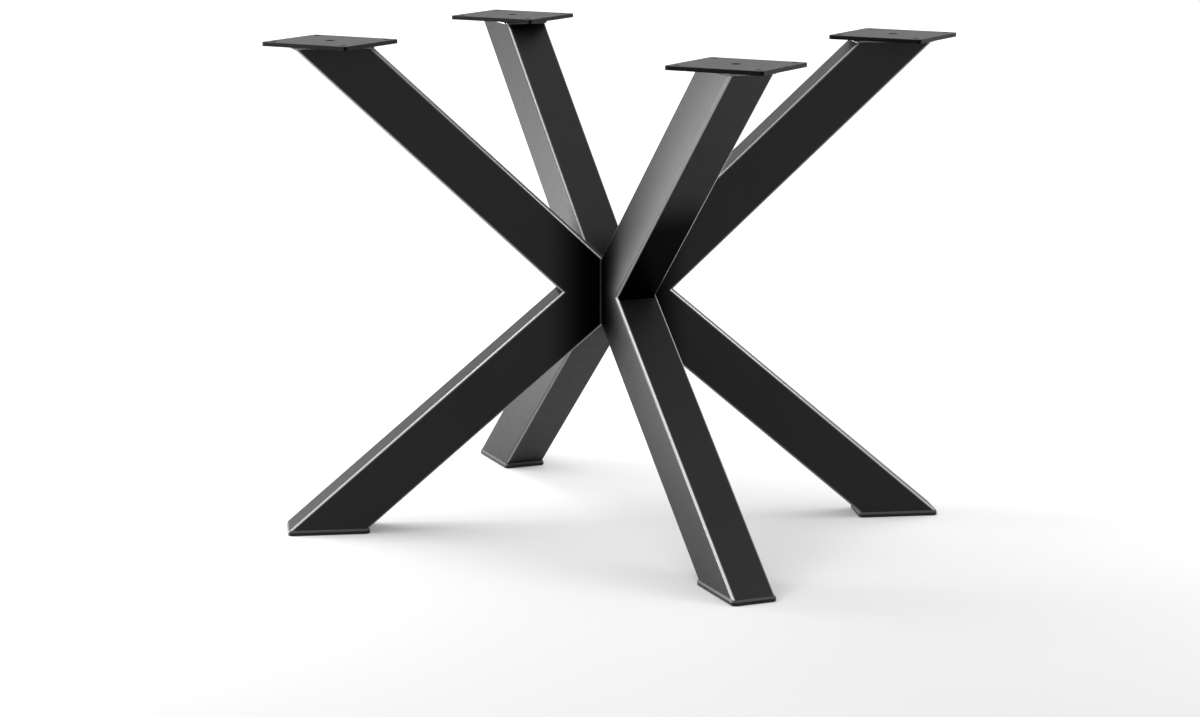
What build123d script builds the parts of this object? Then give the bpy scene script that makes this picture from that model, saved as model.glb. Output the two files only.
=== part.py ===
from build123d import *
import math
import os

# Welded steel table base. Four V-shaped legs of rectangular tube meet at a waist on the Z axis.
# Millimetres, +Z up, the floor at Z = 0 and the waist's centre on the Z axis. Each leg fills one
# quarter of the plan, so neighbouring legs meet on the planes X = 0 and Y = 0.

# Whole base
base_height = 720
waist_height = 353
leg_azimuth = 37.3

# Tube, the width lying in the leg's upright plane
tube_width = 76
tube_thickness = 64
tube_wall = 3
tube_corner_radius = 5

# Slope of each arm from the horizontal, and how far the fork of the V stands off the axis
upper_arm_angle = 43.2
lower_arm_angle = 40.6
fork_radius = 81

# Top plates and their screw holes
plate_length = 146
plate_width = 132
plate_thickness = 6
plate_corner_radius = 4
plate_edge_chamfer = 0.6
centre_hole_diameter = 14
corner_hole_diameter = 9
corner_hole_inset = 13

# Fillet bead between each plate and its tube
weld_leg = 5
weld_toe = 0.5

# Foot caps, each with an upright rim and a shoulder that slopes in from it to the tube
cap_thickness = 8
cap_shoulder = 3
cap_lip = 1.5
cap_edge_chamfer = 1.2
plug_depth = 26
plug_wall = 2.5
plug_clearance = 0.6
rib_height = 2
rib_count = 3

# Worked out from the sizes above
plate_underside = base_height - plate_thickness
tube_inner_radius = tube_corner_radius - tube_wall
bore_width = tube_width - 2 * tube_wall
bore_thickness = tube_thickness - 2 * tube_wall
bar_length = 2 * base_height
quarter_size = 2 * base_height


def end_length(slope):
    """Length of a tube end cut level, measured along the leg."""
    return tube_width / math.sin(math.radians(slope))


def leg_point(radius, height):
    """Point in the upright plane of the leg."""
    turn = math.radians(leg_azimuth)
    return Vector(radius * math.cos(turn), radius * math.sin(turn), height)


def centreline_radius(slope, height):
    """Distance of an arm's centreline from the Z axis at a height."""
    rise = abs(height - waist_height)
    return fork_radius - end_length(slope) / 2 + rise / math.tan(math.radians(slope))


def arm_bar(width, thickness, corner_radius, slope, rising):
    """Solid bar along an arm's centreline, running past both ends of the arm."""
    turn = math.radians(leg_azimuth)
    lean = math.radians(slope)
    outward = Vector(math.cos(turn), math.sin(turn), 0)
    across = Vector(-math.sin(turn), math.cos(turn), 0)
    along = outward * math.cos(lean) + Vector(0, 0, rising * math.sin(lean))
    middle = leg_point(centreline_radius(slope, waist_height), waist_height)
    section_plane = Plane(origin=middle - along * tube_width, x_dir=across, z_dir=along)
    section = section_plane * RectangleRounded(thickness, width, corner_radius)
    return extrude(section, amount=bar_length, dir=along)


def quarter_block(bottom, top):
    """Block over one quarter of the plan between two heights."""
    lifted = Pos(0, 0, bottom)
    return lifted * Box(quarter_size, quarter_size, top - bottom, align=(Align.MIN, Align.MIN, Align.MIN))


def arm_outside(slope, rising):
    return arm_bar(tube_width, tube_thickness, tube_corner_radius, slope, rising)


def arm_bore(slope, rising):
    return arm_bar(bore_width, bore_thickness, tube_inner_radius, slope, rising)


def plug_bar(gap):
    """Bar that stands a gap inside the lower tube's bore."""
    return arm_bar(bore_width - 2 * gap, bore_thickness - 2 * gap, tube_inner_radius, lower_arm_angle, -1)


def make_upper_arm():
    tube = arm_outside(upper_arm_angle, 1) - arm_bore(upper_arm_angle, 1)
    return tube & quarter_block(waist_height, plate_underside)


def make_lower_arm():
    tube = arm_outside(lower_arm_angle, -1) - arm_bore(lower_arm_angle, -1)
    return tube & quarter_block(cap_thickness, waist_height)


def make_top_plate():
    """Plate with its sides along X and Y, centred over the tube end."""
    centre = leg_point(centreline_radius(upper_arm_angle, plate_underside), plate_underside)
    outline = RectangleRounded(plate_length, plate_width, plate_corner_radius)
    slab = extrude(outline, amount=plate_thickness)
    slab = chamfer(slab.faces().sort_by(Axis.Z)[-1].outer_wire().edges(), plate_edge_chamfer)
    holes = Cylinder(centre_hole_diameter / 2, 2 * plate_thickness)
    hole_x = plate_length / 2 - corner_hole_inset
    hole_y = plate_width / 2 - corner_hole_inset
    for side_x in (-1, 1):
        for side_y in (-1, 1):
            place = Pos(side_x * hole_x, side_y * hole_y, plate_thickness / 2)
            holes += place * Cylinder(corner_hole_diameter / 2, 2 * plate_thickness)
    return Pos(*centre) * (slab - holes)


def weld_outline(height, overhang):
    """Outline round the upper tube at a height, standing off the tube by the overhang."""
    centre = leg_point(centreline_radius(upper_arm_angle, height), height)
    length = end_length(upper_arm_angle) + 2 * overhang
    thickness = tube_thickness + 2 * overhang
    rectangle = RectangleRounded(length, thickness, tube_corner_radius + overhang)
    return Pos(*centre) * Rot(0, 0, leg_azimuth) * rectangle


def make_plate_weld():
    """Bead of triangular section round the tube end, against the plate's underside."""
    root = weld_outline(plate_underside, weld_leg)
    toe = weld_outline(plate_underside - weld_leg, weld_toe)
    return loft([toe.face(), root.face()], ruled=True) - arm_outside(upper_arm_angle, 1)


def make_foot_cap():
    """Flange under the tube end, with a hollow ribbed plug up inside the bore."""
    centre = leg_point(centreline_radius(lower_arm_angle, cap_thickness), 0)
    length = end_length(lower_arm_angle)
    rim_height = cap_thickness - cap_shoulder
    rim_length = length + 2 * cap_lip
    rim_thickness = tube_thickness + 2 * cap_lip
    tube_outline = RectangleRounded(length, tube_thickness, tube_corner_radius)
    rim_outline = RectangleRounded(rim_length, rim_thickness, tube_corner_radius + cap_lip)
    rim = extrude(rim_outline, amount=rim_height)
    rim = chamfer(rim.faces().sort_by(Axis.Z)[0].edges(), cap_edge_chamfer)
    shoulder_foot = Pos(0, 0, rim_height) * rim_outline
    shoulder_head = Pos(0, 0, cap_thickness) * tube_outline
    flange = rim + loft([shoulder_foot.face(), shoulder_head.face()], ruled=True)
    flange = Pos(*centre) * Rot(0, 0, leg_azimuth) * flange
    plug_top = cap_thickness + plug_depth
    plug_block = quarter_block(cap_thickness, plug_top)
    cap = flange + (plug_bar(plug_clearance) & plug_block)
    rib_step = plug_depth / (rib_count + 1)
    for index in range(rib_count):
        rib_bottom = cap_thickness + rib_step * (index + 1) - rib_height / 2
        cap += arm_bore(lower_arm_angle, -1) & quarter_block(rib_bottom, rib_bottom + rib_height)
    return cap - (plug_bar(plug_clearance + plug_wall) & plug_block)


def in_every_quarter(shape):
    """The shape in the back right quarter, and its mirror images in the other three."""
    back_left = mirror(shape, about=Plane.YZ)
    quarters = {"back_right": shape, "back_left": back_left}
    quarters["front_right"] = mirror(shape, about=Plane.XZ)
    quarters["front_left"] = mirror(back_left, about=Plane.XZ)
    return quarters


def write_node(name, shape):
    shape.label = name
    export_step(shape, f"parts/{name}.step")


makers = {
    "upper_arm": make_upper_arm,
    "lower_arm": make_lower_arm,
    "top_plate": make_top_plate,
    "plate_weld": make_plate_weld,
    "foot_cap": make_foot_cap,
}

os.makedirs("parts", exist_ok=True)
for piece, make_piece in makers.items():
    for quarter, shape in in_every_quarter(make_piece()).items():
        write_node(f"{quarter}_{piece}", shape)
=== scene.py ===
import math

import bpy
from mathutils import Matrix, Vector


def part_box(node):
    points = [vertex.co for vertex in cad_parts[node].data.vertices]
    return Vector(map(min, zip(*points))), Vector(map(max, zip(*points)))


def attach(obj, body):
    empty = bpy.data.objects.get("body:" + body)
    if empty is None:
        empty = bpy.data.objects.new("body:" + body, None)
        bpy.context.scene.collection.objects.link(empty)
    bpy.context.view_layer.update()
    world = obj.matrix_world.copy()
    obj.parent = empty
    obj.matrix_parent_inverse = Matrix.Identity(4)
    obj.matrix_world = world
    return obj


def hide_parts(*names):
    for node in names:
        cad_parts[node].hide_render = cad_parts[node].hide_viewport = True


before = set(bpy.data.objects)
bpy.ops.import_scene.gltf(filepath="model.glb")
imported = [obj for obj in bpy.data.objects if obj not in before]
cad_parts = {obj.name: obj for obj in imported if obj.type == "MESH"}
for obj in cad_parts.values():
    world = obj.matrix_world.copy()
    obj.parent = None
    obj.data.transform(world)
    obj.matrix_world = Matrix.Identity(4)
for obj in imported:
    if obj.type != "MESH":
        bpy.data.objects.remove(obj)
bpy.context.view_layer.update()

QUARTERS = ("front_left", "front_right", "back_right", "back_left")

# Camera, matched to the photograph
PHOTO_WIDTH_PX = 1200
FOCAL_PX = 2974.0
SENSOR_MM = 36.0
CLIP_START = 0.1
CLIP_END = 100.0
CAMERA_AZIMUTH = math.radians(29.98)
CAMERA_PITCH = math.radians(11.52)
CAMERA_DISTANCE = 4.300
CAMERA_HEIGHT = 1.1227
CAMERA_SIDE_STEP = -0.0215

# Lamps: name, place to the right of, behind and above the origin, width, height and radiance
LAMP_AIM = Vector((0, 0, 0.36))
LAMPS = (
    ("overhead", (-0.85, 0.45, 2.7), 1.8, 1.6, 2.6),
    ("left_low", (-2.1, 0.45, 0.22), 1.5, 0.40, 40.0),
    ("left_high", (-1.9, -0.5, 2.3), 1.6, 0.7, 4.0),
    ("right_high", (2.3, 0.1, 1.95), 1.4, 0.6, 5.5),
    ("right_front", (2.6, -1.4, 1.9), 1.0, 1.4, 0.8),
)

# Room, and a floor that glows more with the distance from a point in front of the base
ROOM_LIGHT = 0.60
BACKDROP_LIGHT = 1.0
FLOOR_REACH = 9.0
FLOOR_GREY = 0.80
GLOW_CENTRE = (0, -1.2, 0)
GLOW_RADII = (0.4, 3.5)
GLOW_STRENGTHS = (0.04, 0.82)

# Tube, as in the solids
TUBE_WIDTH = 0.076
TUBE_THICKNESS = 0.064
TUBE_CORNER = 0.005
UPPER_ARM_ANGLE = math.radians(43.2)
WAIST_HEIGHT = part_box("front_left_upper_arm")[0].z

# Textures, each a scale and a detail
MOTTLE = (7.0, 3.0)
SPECKLE = (1400.0, 2.0)
SMEAR = (60.0, 4.0)
PEEL = (420.0, 2.0)
SAND = (2600.0, 1.0)
PLASTIC_CLOUD = (40.0, 3.0)
PLASTIC_SMEAR = (300.0, 3.0)
PLASTIC_SPARK = (1800.0, 2.0)

# Bumps, each a strength and a distance
PEEL_BUMP = (0.22, 0.0004)
SAND_BUMP = (0.16, 0.0002)
SEAM_BUMP = (0.6, 0.0008)
PLASTIC_BUMP = (0.25, 0.0002)

# Powder coat. Tones are pairs of a place on the ramp and a grey level
COAT_TONES = ((0.10, 0.0016), (0.45, 0.0050))
COAT_WARMTH = -0.05
COAT_ROUGHNESS = (0.40, 0.50)
COAT_SPECULAR = 0.25
COAT_TINT = (0.97, 0.94, 1.0)
GLAZE_ROUGHNESS = 0.2
GLAZE_IOR = 2.0
WELD_GRAIN = 0.7
WELD_GLAZE = 0.9

# Painted shade on the plates: their sides reflect less than their tops do
SIDE_SHADE_TINT = 0.04
SIDE_STOP = 0.6
TOP_STOP = 0.95
UP_SOFTNESS = 0.3

# Round corners of the tubes, glossy, with a painted highlight: paler all round, palest where they
# face up, and partly pale on the upper arms
CORNER_FOCUS = 2.3
CORNER_HIGHLIGHT_GREY = 0.05
CORNER_GLOSS = 0.20
PAINTED_HIGHLIGHT_GREY = 0.50
PAINTED_HIGHLIGHT_WARMTH = -0.03
UPPER_PAINTED_HIGHLIGHT = 0.30

# Ground welds at the waist, and the crease in the fork of each leg, which is bumped and painted
# dark as shade
SEAM_HALF_WIDTH = 0.0016
SEAM_GREY = 0.035
FORK_CREASE = 0.0022

# Shade close to the Z axis. Over a fork it reaches further out by one length, and on the other
# faces that lie along the leg it stays further in by the other
SHADE_RADII = (0.036, 0.115)
SHADE_GREY = 0.0002
SHADE_TINT = 0.03
SHADE_SPECULAR = 0.03
FORK_SHADE_OUT = 0.16
FORK_SHADE_IN = 0.05

# Moulded plastic of the feet, with a painted highlight that makes the shoulder over the rim paler
PLASTIC_TONES = ((0.3, 0.002), (0.7, 0.004))
PLASTIC_ROUGHNESS = (0.34, 0.46)
PLASTIC_SPECULAR = 0.25
SHOULDER_HIGHLIGHT_GREY = 0.07
SHOULDER_HIGHLIGHT_FOCUS = 5.0

# Weld bead
BEAD_SIZE = 0.0046
BEAD_PITCH = 0.0034
BEAD_RIPPLE = 0.16
BEAD_EVENNESS = 0.6
BEAD_WAVES = (71.0, 193.0)
BEAD_STEPS_PER_PITCH = 6
BEAD_SECTION_STEPS = 6
BEAD_ROOT = 0.0004
FEWEST_ARC_STEPS = 3

# Sockets of the mix node when it mixes colours. Its other kinds use the same names
MIX_FACTOR, MIX_FIRST, MIX_SECOND, MIX_RESULT = 0, 6, 7, 2

# Layout of the shader nodes
NODES_PER_ROW = 8
NODE_STEP_X = 240
NODE_STEP_Y = 320


def photo_point(right, away, up):
    """Point given as metres to the right of, behind and above the origin in the photograph."""
    cosine, sine = math.cos(CAMERA_AZIMUTH), math.sin(CAMERA_AZIMUTH)
    return Vector((right * cosine - away * sine, right * sine + away * cosine, up))


def leg_azimuth(quarter):
    """Direction of a leg in plan. Each top plate is centred over its leg."""
    low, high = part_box(f"{quarter}_top_plate")
    return math.atan2(low.y + high.y, low.x + high.x)


def grey(level, warmth=0.0):
    """Near-neutral colour, bluer for a negative warmth."""
    return (level * (1 + warmth), level, level * (1 - warmth))


def add(tree, kind):
    """New shader node, set down in rows so that none lies over another."""
    count = len(tree.nodes)
    node = tree.nodes.new(kind)
    node.location = (NODE_STEP_X * (count % NODES_PER_ROW), -NODE_STEP_Y * (count // NODES_PER_ROW))
    return node


def feed(tree, target, value):
    """Links a socket to an input, or sets the input to a plain value."""
    if isinstance(value, bpy.types.NodeSocket):
        tree.links.new(value, target)
    else:
        target.default_value = value


def math_node(tree, operation, *values):
    """Math node fed by sockets or numbers."""
    node = add(tree, "ShaderNodeMath")
    node.operation = operation
    for target, value in zip(node.inputs, values):
        feed(tree, target, value)
    return node.outputs["Value"]


def vector_node(tree, operation, *values):
    """Vector math node fed by sockets or vectors."""
    node = add(tree, "ShaderNodeVectorMath")
    node.operation = operation
    for target, value in zip(node.inputs, values):
        feed(tree, target, value)
    return node


def one_minus(tree, value):
    return math_node(tree, "SUBTRACT", 1.0, value)


def map_range(tree, source, before, after, smooth=False):
    """Maps one range of numbers onto another, with soft ends where smooth."""
    node = add(tree, "ShaderNodeMapRange")
    if smooth:
        node.interpolation_type = "SMOOTHSTEP"
    for name, value in zip(("From Min", "From Max", "To Min", "To Max"), (*before, *after)):
        node.inputs[name].default_value = value
    tree.links.new(source, node.inputs["Value"])
    return node.outputs["Result"]


def ramp(tree, source, stops):
    """Colour ramp between two stops, each a position and a colour."""
    node = add(tree, "ShaderNodeValToRGB")
    for element, (position, colour) in zip(node.color_ramp.elements, stops):
        element.position = position
        element.color = (*colour, 1.0)
    tree.links.new(source, node.inputs["Fac"])
    return node.outputs["Color"]


def blend_colour(tree, amount, first, second):
    """Mixes a colour socket towards a fixed colour."""
    node = add(tree, "ShaderNodeMix")
    node.data_type = "RGBA"
    node.inputs[MIX_SECOND].default_value = (*second, 1.0)
    tree.links.new(amount, node.inputs[MIX_FACTOR])
    tree.links.new(first, node.inputs[MIX_FIRST])
    return node.outputs[MIX_RESULT]


def noise(tree, place, texture, grain=1.0):
    scale, detail = texture
    node = add(tree, "ShaderNodeTexNoise")
    node.inputs["Scale"].default_value = scale * grain
    node.inputs["Detail"].default_value = detail
    tree.links.new(place, node.inputs["Vector"])
    return node.outputs["Fac"]


def bump(tree, height, shape, normal=None):
    strength, distance = shape
    node = add(tree, "ShaderNodeBump")
    node.inputs["Strength"].default_value = strength
    node.inputs["Distance"].default_value = distance
    tree.links.new(height, node.inputs["Height"])
    if normal is not None:
        tree.links.new(normal, node.inputs["Normal"])
    return node.outputs["Normal"]


def axes_of(tree, vector):
    node = add(tree, "ShaderNodeSeparateXYZ")
    tree.links.new(vector, node.inputs["Vector"])
    return node.outputs["X"], node.outputs["Y"], node.outputs["Z"]


def surface_normal(tree):
    return add(tree, "ShaderNodeNewGeometry").outputs["Normal"]


def facing_up(tree):
    """0 where the surface faces down and 1 where it faces up, with a soft change between."""
    height = axes_of(tree, surface_normal(tree))[2]
    return map_range(tree, height, (-UP_SOFTNESS, UP_SOFTNESS), (0.0, 1.0), smooth=True)


def near_plane(tree, coordinate, level, half_width):
    """1 close to a level of one coordinate, fading to 0 at the half width."""
    distance = math_node(tree, "ABSOLUTE", math_node(tree, "SUBTRACT", coordinate, level))
    return map_range(tree, distance, (half_width / 2, half_width), (1.0, 0.0), smooth=True)


def across_squared(tree, across):
    """1 on the two sides of a tube that face across its leg, and 0 on the other two."""
    facing = vector_node(tree, "DOT_PRODUCT", surface_normal(tree), across).outputs["Value"]
    return math_node(tree, "MULTIPLY", facing, facing)


def round_corner_mask(tree, square, rest):
    """1 on the middle of the tube's round corners and 0 on its four flat sides."""
    product = math_node(tree, "MULTIPLY", square, rest)
    # The product is a quarter at most, halfway round the corner
    whole = math_node(tree, "MULTIPLY", product, 4.0)
    return math_node(tree, "POWER", whole, CORNER_FOCUS)


def waist_fade(tree, place, rest, above, up):
    """0 close to the Z axis, where the tubes shade one another, and 1 further out.

    The shade reaches further out on the underside of each upper arm, and less far on the other
    faces that lie along the leg."""
    under = math_node(tree, "MULTIPLY", above, one_minus(tree, up))
    reach = math_node(tree, "MULTIPLY", under, FORK_SHADE_OUT + FORK_SHADE_IN)
    reach = math_node(tree, "SUBTRACT", reach, FORK_SHADE_IN)
    shift = math_node(tree, "MULTIPLY", reach, rest)
    flat = vector_node(tree, "MULTIPLY", place, (1.0, 1.0, 0.0)).outputs["Vector"]
    radius = vector_node(tree, "LENGTH", flat).outputs["Value"]
    moved = math_node(tree, "SUBTRACT", radius, shift)
    return map_range(tree, moved, SHADE_RADII, (0.0, 1.0), smooth=True)


def new_material(name):
    """Empty material, its node tree and the surface socket of its output."""
    material = bpy.data.materials.new(name)
    material.use_nodes = True
    tree = material.node_tree
    tree.nodes.clear()
    return material, tree, add(tree, "ShaderNodeOutputMaterial").inputs["Surface"]


def finish_surface(tree, shader, surface, colour, gloss, normal):
    tree.links.new(colour, shader.inputs["Base Color"])
    tree.links.new(gloss, shader.inputs["Roughness"])
    tree.links.new(normal, shader.inputs["Normal"])
    tree.links.new(shader.outputs["BSDF"], surface)


def shade_tube(tree, shader, place, across, colour, gloss, normal):
    """Adds round corners with painted highlights, ground welds, creases and painted shade to the
    coat of a tube.
    """
    x, y, z = axes_of(tree, place)
    square = across_squared(tree, across)
    rest = one_minus(tree, square)
    up = facing_up(tree)
    above = math_node(tree, "GREATER_THAN", z, WAIST_HEIGHT)
    corner = round_corner_mask(tree, square, rest)
    side_seam = near_plane(tree, x, 0.0, SEAM_HALF_WIDTH)
    end_seam = near_plane(tree, y, 0.0, SEAM_HALF_WIDTH)
    seam = math_node(tree, "MAXIMUM", side_seam, end_seam)
    level = near_plane(tree, z, WAIST_HEIGHT - FORK_CREASE, FORK_CREASE)
    fork_crease_and_shade = math_node(tree, "MULTIPLY", level, rest)
    fade = waist_fade(tree, place, rest, above, up)
    # Painted shade in the fork creases, added to the painted shade close to the Z axis
    fade = math_node(tree, "MULTIPLY", fade, one_minus(tree, fork_crease_and_shade))
    # Painted highlight on the round corners: part of it on the upper arms, and on the lower arms
    # where the corners face up
    upper_highlight = math_node(tree, "MULTIPLY", above, UPPER_PAINTED_HIGHLIGHT)
    lower_highlight = math_node(tree, "MULTIPLY", one_minus(tree, above), up)
    light = math_node(tree, "ADD", upper_highlight, lower_highlight)
    painted_highlight = math_node(tree, "MULTIPLY", corner, light)
    # Painted shade darkens the colour first, then the ground welds and the painted corner
    # highlights go on top
    colour = blend_colour(tree, one_minus(tree, fade), colour, grey(SHADE_GREY))
    colour = blend_colour(tree, seam, colour, grey(SEAM_GREY))
    colour = blend_colour(tree, corner, colour, grey(CORNER_HIGHLIGHT_GREY))
    colour = blend_colour(tree, painted_highlight, colour, grey(PAINTED_HIGHLIGHT_GREY, PAINTED_HIGHLIGHT_WARMTH))
    gloss = math_node(tree, "SUBTRACT", gloss, math_node(tree, "MULTIPLY", corner, CORNER_GLOSS))
    normal = bump(tree, math_node(tree, "MAXIMUM", seam, fork_crease_and_shade), SEAM_BUMP, normal)
    # The painted shade dims the reflections as well, through the specular tint and level
    tint = ramp(tree, fade, ((0.0, grey(SHADE_TINT)), (1.0, COAT_TINT)))
    specular = map_range(tree, fade, (0.0, 1.0), (SHADE_SPECULAR, COAT_SPECULAR))
    tree.links.new(corner, shader.inputs["Coat Weight"])
    tree.links.new(tint, shader.inputs["Specular Tint"])
    tree.links.new(specular, shader.inputs["Specular IOR Level"])
    return colour, gloss, normal


def powder_coat(name, across=None, grain=1.0, glaze=0.0, shaded_sides=False):
    """Black satin powder coat with soft mottling and fine orange peel.

    The coat of a tube is given the direction across its leg."""
    material, tree, surface = new_material(name)
    shader = add(tree, "ShaderNodeBsdfPrincipled")
    shader.inputs["Specular IOR Level"].default_value = COAT_SPECULAR
    shader.inputs["Specular Tint"].default_value = (*COAT_TINT, 1.0)
    shader.inputs["Coat Weight"].default_value = glaze
    shader.inputs["Coat Roughness"].default_value = GLAZE_ROUGHNESS
    shader.inputs["Coat IOR"].default_value = GLAZE_IOR
    place = add(tree, "ShaderNodeTexCoord").outputs["Object"]
    mottle = noise(tree, place, MOTTLE)
    speckle = noise(tree, place, SPECKLE, grain)
    mixed = math_node(tree, "MULTIPLY", mottle, speckle)
    stops = [(position, grey(level, COAT_WARMTH)) for position, level in COAT_TONES]
    colour = ramp(tree, mixed, stops)
    gloss = map_range(tree, noise(tree, place, SMEAR), (0.0, 1.0), COAT_ROUGHNESS)
    normal = bump(tree, noise(tree, place, PEEL, grain), PEEL_BUMP)
    normal = bump(tree, noise(tree, place, SAND, grain), SAND_BUMP, normal)
    if across is not None:
        colour, gloss, normal = shade_tube(tree, shader, place, across, colour, gloss, normal)
    if shaded_sides:
        # Painted shade: the sides of the plates reflect less than the tops
        stops = ((SIDE_STOP, grey(SIDE_SHADE_TINT)), (TOP_STOP, COAT_TINT))
        tree.links.new(ramp(tree, facing_up(tree), stops), shader.inputs["Specular Tint"])
    finish_surface(tree, shader, surface, colour, gloss, normal)
    return material


def foot_plastic(name):
    """Moulded black plastic with a fine spark-eroded grain."""
    material, tree, surface = new_material(name)
    shader = add(tree, "ShaderNodeBsdfPrincipled")
    shader.inputs["Specular IOR Level"].default_value = PLASTIC_SPECULAR
    place = add(tree, "ShaderNodeTexCoord").outputs["Object"]
    stops = [(position, grey(level)) for position, level in PLASTIC_TONES]
    colour = ramp(tree, noise(tree, place, PLASTIC_CLOUD), stops)
    # Painted highlight on the upward-facing shoulder of each foot
    shoulder_highlight = math_node(tree, "POWER", facing_up(tree), SHOULDER_HIGHLIGHT_FOCUS)
    colour = blend_colour(tree, shoulder_highlight, colour, grey(SHOULDER_HIGHLIGHT_GREY))
    gloss = map_range(tree, noise(tree, place, PLASTIC_SMEAR), (0.0, 1.0), PLASTIC_ROUGHNESS)
    normal = bump(tree, noise(tree, place, PLASTIC_SPARK), PLASTIC_BUMP)
    finish_surface(tree, shader, surface, colour, gloss, normal)
    return material


def outline_points(half_length, half_width, corner, step):
    """Points, outward directions and distances round a rounded rectangle, evenly spaced."""
    straight_x, straight_y = half_length - corner, half_width - corner
    signs = ((1, 1), (-1, 1), (-1, -1), (1, -1))
    arc_steps = max(FEWEST_ARC_STEPS, round(corner * math.pi / 2 / step))
    points = []
    for index, (sign_x, sign_y) in enumerate(signs):
        centre_x, centre_y = sign_x * straight_x, sign_y * straight_y
        for turn in range(arc_steps + 1):
            angle = (index + turn / arc_steps) * math.pi / 2
            direction = (math.cos(angle), math.sin(angle))
            place = (centre_x + corner * direction[0], centre_y + corner * direction[1])
            points.append((place, direction))
        straight = 2 * (straight_x if index % 2 == 0 else straight_y)
        side_steps = max(1, round(straight / step))
        start, direction = points[-1]
        for count in range(1, side_steps):
            moved = straight * count / side_steps
            place = (start[0] - direction[1] * moved, start[1] + direction[0] * moved)
            points.append((place, direction))
    rows = []
    walked = 0.0
    previous = points[0][0]
    for place, direction in points:
        walked += math.dist(place, previous)
        previous = place
        rows.append((place, direction, walked))
    return rows


def bead_size_at(walked):
    """Size of the bead at a distance walked round the tube, with uneven ripples."""
    ripple = abs(math.sin(math.pi * walked / BEAD_PITCH))
    drift = 0.5 + 0.5 * math.sin(walked * BEAD_WAVES[0]) * math.sin(walked * BEAD_WAVES[1])
    height = ripple * (BEAD_EVENNESS + (1 - BEAD_EVENNESS) * drift)
    return BEAD_SIZE * (1 - BEAD_RIPPLE + BEAD_RIPPLE * height)


def make_weld_bead(quarter, material):
    """Rippled fillet bead round the tube end, under the top plate."""
    azimuth = leg_azimuth(quarter)
    low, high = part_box(f"{quarter}_top_plate")
    centre = Vector(((low.x + high.x) / 2, (low.y + high.y) / 2, low.z))
    outward = Vector((math.cos(azimuth), math.sin(azimuth), 0))
    across = Vector((-math.sin(azimuth), math.cos(azimuth), 0))
    down_arm = Vector((0, 0, -1)) - outward / math.tan(UPPER_ARM_ANGLE)
    half_length = TUBE_WIDTH / math.sin(UPPER_ARM_ANGLE) / 2
    step = BEAD_PITCH / BEAD_STEPS_PER_PITCH
    rows = outline_points(half_length, TUBE_THICKNESS / 2, TUBE_CORNER, step)
    vertices = []
    for (along_leg, along_side), (normal_leg, normal_side), walked in rows:
        place = centre + outward * along_leg + across * along_side
        direction = outward * normal_leg + across * normal_side
        size = bead_size_at(walked)
        for index in range(BEAD_SECTION_STEPS + 1):
            angle = math.pi / 2 * index / BEAD_SECTION_STEPS
            out = size * math.cos(angle)
            if index == BEAD_SECTION_STEPS:
                out -= BEAD_ROOT
            vertices.append(place + direction * out + down_arm * (size * math.sin(angle)))
    section = BEAD_SECTION_STEPS + 1
    faces = []
    for row in range(len(rows)):
        following = (row + 1) % len(rows)
        for index in range(BEAD_SECTION_STEPS):
            first, second = row * section + index, following * section + index
            faces.append((first, first + 1, second + 1, second))
    mesh = bpy.data.meshes.new(f"{quarter}_weld_bead")
    mesh.from_pydata(vertices, [], faces)
    mesh.update()
    for polygon in mesh.polygons:
        polygon.use_smooth = True
    mesh.materials.append(material)
    bead = bpy.data.objects.new(f"{quarter}_weld_bead", mesh)
    bpy.context.scene.collection.objects.link(bead)
    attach(bead, "root")
    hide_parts(f"{quarter}_plate_weld")


def dress(node, material):
    """Gives a carried-over solid its material."""
    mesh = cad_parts[node].data
    mesh.materials.clear()
    mesh.materials.append(material)


def dress_solids():
    """Dresses every solid and makes the weld beads. Opposite legs share one direction."""
    plate_coat = powder_coat("coat_plates", shaded_sides=True)
    weld_coat = powder_coat("coat_welds", grain=WELD_GRAIN, glaze=WELD_GLAZE)
    plastic = foot_plastic("moulded_feet")
    for pair in (("front_left", "back_right"), ("front_right", "back_left")):
        azimuth = leg_azimuth(pair[1])
        across = (-math.sin(azimuth), math.cos(azimuth), 0)
        tube_coat = powder_coat(f"coat_tubes_{pair[1]}", across)
        for quarter in pair:
            dress(f"{quarter}_upper_arm", tube_coat)
            dress(f"{quarter}_lower_arm", tube_coat)
    for quarter in QUARTERS:
        dress(f"{quarter}_top_plate", plate_coat)
        dress(f"{quarter}_plate_weld", weld_coat)
        dress(f"{quarter}_foot_cap", plastic)
        make_weld_bead(quarter, weld_coat)


def seen_directly(tree):
    """1 for camera, glossy and transmission rays, and 0 for the rays that carry light."""
    path = add(tree, "ShaderNodeLightPath").outputs
    glossy = math_node(tree, "MAXIMUM", path["Is Camera Ray"], path["Is Glossy Ray"])
    return math_node(tree, "MAXIMUM", glossy, path["Is Transmission Ray"])


def split_by_ray(tree, lighting, seen, surface):
    """Uses one shader for the rays that carry light and another for what is seen."""
    mix = add(tree, "ShaderNodeMixShader")
    tree.links.new(seen_directly(tree), mix.inputs["Fac"])
    tree.links.new(lighting, mix.inputs[1])
    tree.links.new(seen, mix.inputs[2])
    tree.links.new(mix.outputs["Shader"], surface)


def white_background(tree, strength):
    node = add(tree, "ShaderNodeBackground")
    node.inputs["Color"].default_value = (1, 1, 1, 1)
    node.inputs["Strength"].default_value = strength
    return node.outputs["Background"]


def make_world():
    world = bpy.data.worlds.new("studio")
    bpy.context.scene.world = world
    world.use_nodes = True
    tree = world.node_tree
    tree.nodes.clear()
    surface = add(tree, "ShaderNodeOutputWorld").inputs["Surface"]
    room = white_background(tree, ROOM_LIGHT)
    backdrop = white_background(tree, BACKDROP_LIGHT)
    split_by_ray(tree, room, backdrop, surface)


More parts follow.
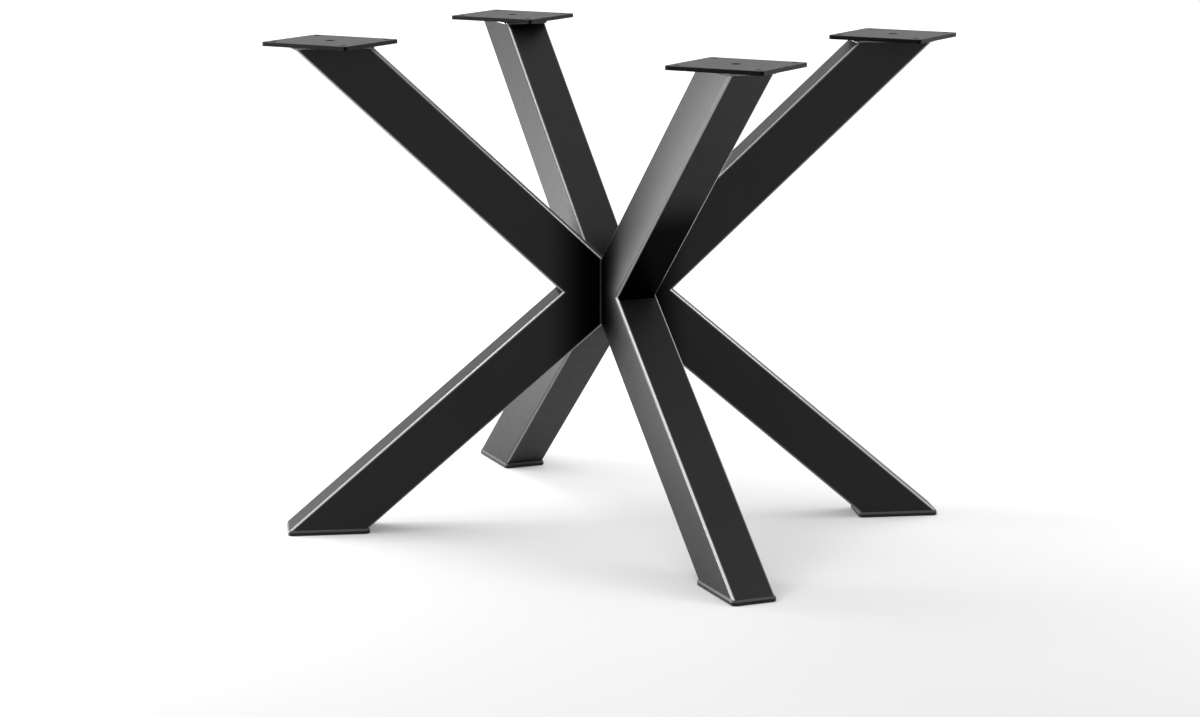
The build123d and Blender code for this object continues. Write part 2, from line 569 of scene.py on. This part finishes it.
def make_floor():
    """Pale floor that melts into the white backdrop and keeps the shadow."""
    material, tree, surface = new_material("pale_floor")
    matt = add(tree, "ShaderNodeBsdfDiffuse")
    matt.inputs["Color"].default_value = (*grey(FLOOR_GREY), 1)
    position = add(tree, "ShaderNodeNewGeometry").outputs["Position"]
    distance = vector_node(tree, "DISTANCE", position, photo_point(*GLOW_CENTRE)).outputs["Value"]
    glow = add(tree, "ShaderNodeEmission")
    strength = map_range(tree, distance, GLOW_RADII, GLOW_STRENGTHS, smooth=True)
    tree.links.new(strength, glow.inputs["Strength"])
    both = add(tree, "ShaderNodeAddShader")
    tree.links.new(matt.outputs["BSDF"], both.inputs[0])
    tree.links.new(glow.outputs["Emission"], both.inputs[1])
    split_by_ray(tree, matt.outputs["BSDF"], both.outputs["Shader"], surface)
    signs = ((-1, -1), (1, -1), (1, 1), (-1, 1))
    corners = [(sign_x * FLOOR_REACH, sign_y * FLOOR_REACH, 0) for sign_x, sign_y in signs]
    mesh = bpy.data.meshes.new("floor")
    mesh.from_pydata(corners, [], [(0, 1, 2, 3)])
    mesh.materials.append(material)
    floor = bpy.data.objects.new("floor", mesh)
    bpy.context.scene.collection.objects.link(floor)


def make_softbox(name, place, width, height, radiance):
    """Rectangular lamp of an even brightness, turned towards the middle of the base."""
    lamp = bpy.data.lights.new(name, "AREA")
    lamp.shape = "RECTANGLE"
    lamp.size = width
    lamp.size_y = height
    lamp.energy = radiance * math.pi * width * height
    holder = bpy.data.objects.new(name, lamp)
    holder.location = place
    holder.rotation_mode = "QUATERNION"
    holder.rotation_quaternion = (LAMP_AIM - place).to_track_quat("-Z", "Y")
    holder.visible_camera = False
    bpy.context.scene.collection.objects.link(holder)


def make_lights():
    for name, place, width, height, radiance in LAMPS:
        make_softbox(name, photo_point(*place), width, height, radiance)


def make_camera():
    data = bpy.data.cameras.new("photo_camera")
    data.sensor_fit = "HORIZONTAL"
    data.sensor_width = SENSOR_MM
    data.lens = FOCAL_PX / PHOTO_WIDTH_PX * SENSOR_MM
    data.clip_start = CLIP_START
    data.clip_end = CLIP_END
    camera = bpy.data.objects.new("photo_camera", data)
    camera.location = photo_point(CAMERA_SIDE_STEP, -CAMERA_DISTANCE, CAMERA_HEIGHT)
    forward = photo_point(0, math.cos(CAMERA_PITCH), -math.sin(CAMERA_PITCH))
    camera.rotation_mode = "QUATERNION"
    camera.rotation_quaternion = forward.to_track_quat("-Z", "Y")
    bpy.context.scene.collection.objects.link(camera)
    bpy.context.scene.camera = camera


dress_solids()
make_world()
make_floor()
make_lights()
make_camera()
bpy.context.scene.view_settings.view_transform = "Standard"
